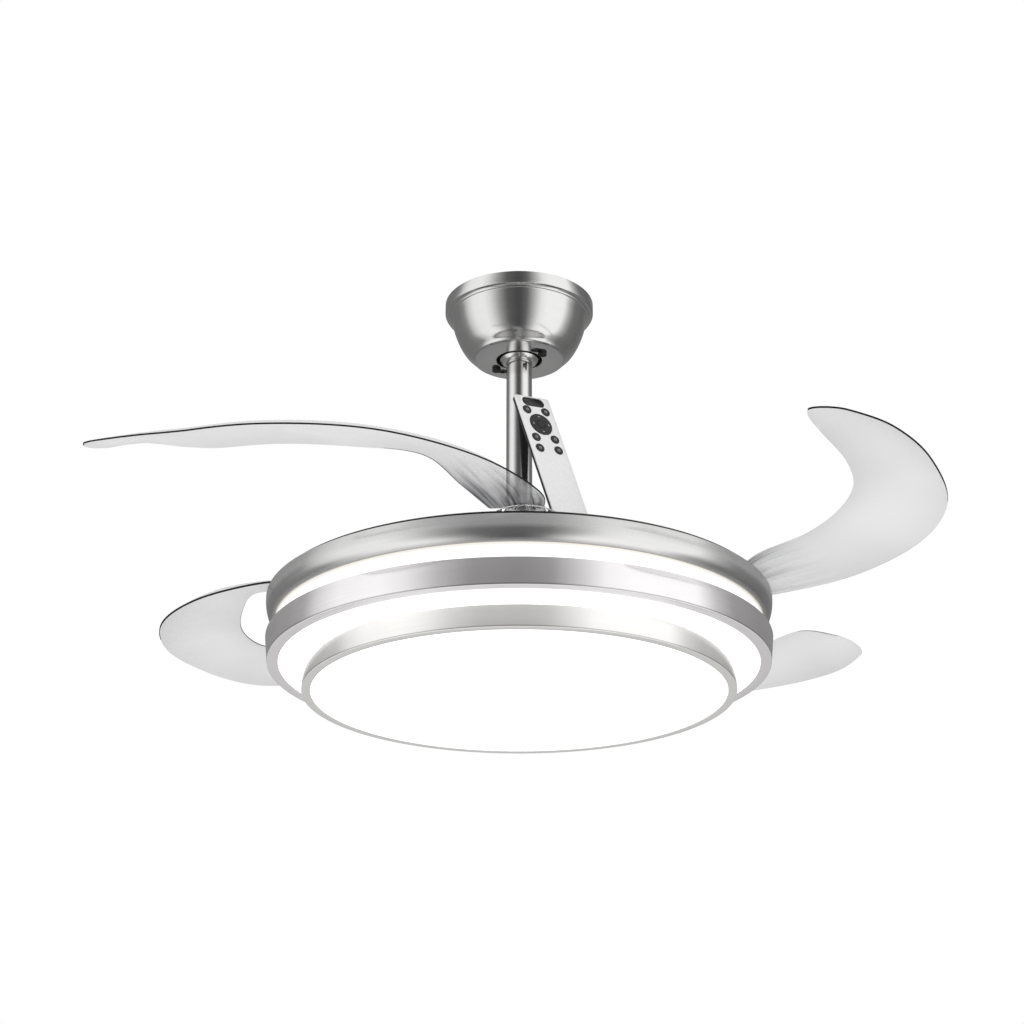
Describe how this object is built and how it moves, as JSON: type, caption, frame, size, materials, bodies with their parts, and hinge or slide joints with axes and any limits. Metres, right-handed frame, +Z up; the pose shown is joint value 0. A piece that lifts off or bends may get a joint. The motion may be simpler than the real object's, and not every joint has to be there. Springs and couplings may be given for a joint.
{
  "type": "retractable blade ceiling fan",
  "caption": "Ceiling fan with clear blades that fold over a drum lamp of brushed hoops and lit diffusers, hung on a downrod from a bowl canopy, with a slim remote leaning on the rod.",
  "frame": {"origin": "middle of the ceiling bracket's upper face, on the downrod's axis", "axes": "+Z up into the ceiling along the rod's axis, -Y the side towards the camera, +X to the right"},
  "size_m": [0.7854, 0.7854, 0.435],
  "materials": {
    "nickel": "brushed",
    "steel": "satin",
    "black_steel": "satin",
    "clear_plastic": "clear",
    "opal_plastic": "lit",
    "white_paint": "satin",
    "nylon": "satin",
    "copper": "satin",
    "silver_plastic": "satin",
    "black_plastic": "satin",
    "board_green": "satin"
  },
  "bodies": {
    "mount": {"ceiling_bracket": "steel", "canopy": "nickel", "canopy_screw_1": "steel", "canopy_screw_2": "steel", "receiver": "black_plastic"},
    "fan": {"hanger_ball": "black_plastic", "hanger_pin": "steel", "downrod": "nickel", "rod_coupling": "nickel", "coupling_pin": "steel", "motor_shaft": "steel", "stator": "copper", "top_pan": "nickel", "side_diffuser": "opal_plastic", "middle_ring": "nickel", "annular_diffuser": "opal_plastic", "lower_ring": "nickel", "bottom_diffuser": "opal_plastic", "lamp_chassis": "white_paint", "lamp_nut": "steel", "led_board": "white_paint", "led_driver": "white_paint"},
    "rotor": {"rotor_housing": "steel", "rotor_base": "steel", "bearing_upper": "steel", "bearing_lower": "steel", "rotor_disc": "black_steel", "hub_cover": "nickel", "return_spring": "steel", "pivot_screw_1": "steel", "pivot_screw_2": "steel", "pivot_screw_3": "steel", "pivot_screw_4": "steel"},
    "sync": {"sync_gear": "nylon"},
    "blade_arm_1": {"blade_1": "clear_plastic", "blade_gear_1": "nylon"},
    "blade_arm_2": {"blade_2": "clear_plastic", "blade_gear_2": "nylon"},
    "blade_arm_3": {"blade_3": "clear_plastic", "blade_gear_3": "nylon"},
    "blade_arm_4": {"blade_4": "clear_plastic", "blade_gear_4": "nylon"},
    "remote": {"remote_back": "black_plastic", "remote_front": "silver_plastic", "remote_window": "black_plastic", "remote_board": "board_green", "remote_magnet": "steel"},
    "tray": {"cell_tray": "black_plastic", "coin_cell": "steel"},
    "pad": {"direction_pad": "black_plastic"},
    "center": {"center_button": "black_plastic"},
    "key_1": {"remote_button_1": "black_plastic"},
    "key_2": {"remote_button_2": "black_plastic"},
    "key_3": {"remote_button_3": "black_plastic"},
    "key_4": {"remote_button_4": "black_plastic"},
    "key_5": {"remote_button_5": "black_plastic"},
    "key_6": {"remote_button_6": "black_plastic"}
  },
  "joints": [
    {"name": "hanger_swing", "type": "hinge", "parent": "mount", "child": "fan", "pos_m": [0, 0, -0.04], "axis": [1, 0, 0], "range_deg": [-8, 8]},
    {"name": "rotor_spin", "type": "hinge", "parent": "fan", "child": "rotor", "pos_m": [0, 0, -0.337], "axis": [0, 0, 1], "continuous": true},
    {"name": "blade_1_fold", "type": "hinge", "parent": "rotor", "child": "blade_arm_1", "pos_m": [0.00537, -0.20493, -0.33], "axis": [0, 0, 1], "range_deg": [-78, 0]},
    {"name": "blade_2_fold", "type": "hinge", "parent": "rotor", "child": "blade_arm_2", "pos_m": [0.20493, 0.00537, -0.33], "axis": [0, 0, 1], "range_deg": [-78, 0]},
    {"name": "blade_3_fold", "type": "hinge", "parent": "rotor", "child": "blade_arm_3", "pos_m": [-0.00537, 0.20493, -0.33], "axis": [0, 0, 1], "range_deg": [-78, 0]},
    {"name": "blade_4_fold", "type": "hinge", "parent": "rotor", "child": "blade_arm_4", "pos_m": [-0.20493, -0.00537, -0.33], "axis": [0, 0, 1], "range_deg": [-78, 0]},
    {"name": "sync_turn", "type": "hinge", "parent": "rotor", "child": "sync", "pos_m": [0, 0, -0.335], "axis": [0, 0, 1], "range_deg": [0, 10.84]},
    {"name": "remote_lift_off", "type": "slide", "parent": "fan", "child": "remote", "axis": [0.5205, -0.8011, 0.2954], "range_m": [0, 0.06]},
    {"name": "tray_slide", "type": "slide", "parent": "remote", "child": "tray", "axis": [0.2642, -0.1779, -0.9479], "range_m": [0, 0.03]},
    {"name": "pad_press", "type": "slide", "parent": "remote", "child": "pad", "axis": [-0.5205, 0.8011, -0.2954], "range_m": [0, 0.0008], "stiffness_N_per_m": 400},
    {"name": "center_press", "type": "slide", "parent": "remote", "child": "center", "axis": [-0.5205, 0.8011, -0.2954], "range_m": [0, 0.0008], "stiffness_N_per_m": 400},
    {"name": "key_1_press", "type": "slide", "parent": "remote", "child": "key_1", "axis": [-0.5205, 0.8011, -0.2954], "range_m": [0, 0.0008], "stiffness_N_per_m": 400},
    {"name": "key_2_press", "type": "slide", "parent": "remote", "child": "key_2", "axis": [-0.5205, 0.8011, -0.2954], "range_m": [0, 0.0008], "stiffness_N_per_m": 400},
    {"name": "key_3_press", "type": "slide", "parent": "remote", "child": "key_3", "axis": [-0.5205, 0.8011, -0.2954], "range_m": [0, 0.0008], "stiffness_N_per_m": 400},
    {"name": "key_4_press", "type": "slide", "parent": "remote", "child": "key_4", "axis": [-0.5205, 0.8011, -0.2954], "range_m": [0, 0.0008], "stiffness_N_per_m": 400},
    {"name": "key_5_press", "type": "slide", "parent": "remote", "child": "key_5", "axis": [-0.5205, 0.8011, -0.2954], "range_m": [0, 0.0008], "stiffness_N_per_m": 400},
    {"name": "key_6_press", "type": "slide", "parent": "remote", "child": "key_6", "axis": [-0.5205, 0.8011, -0.2954], "range_m": [0, 0.0008], "stiffness_N_per_m": 400}
  ],
  "couplings": [
    {"joint": "blade_2_fold", "follows": "blade_1_fold", "ratio": 1},
    {"joint": "blade_3_fold", "follows": "blade_1_fold", "ratio": 1},
    {"joint": "blade_4_fold", "follows": "blade_1_fold", "ratio": 1},
    {"joint": "sync_turn", "follows": "blade_1_fold", "ratio": -0.13889}
  ]
}
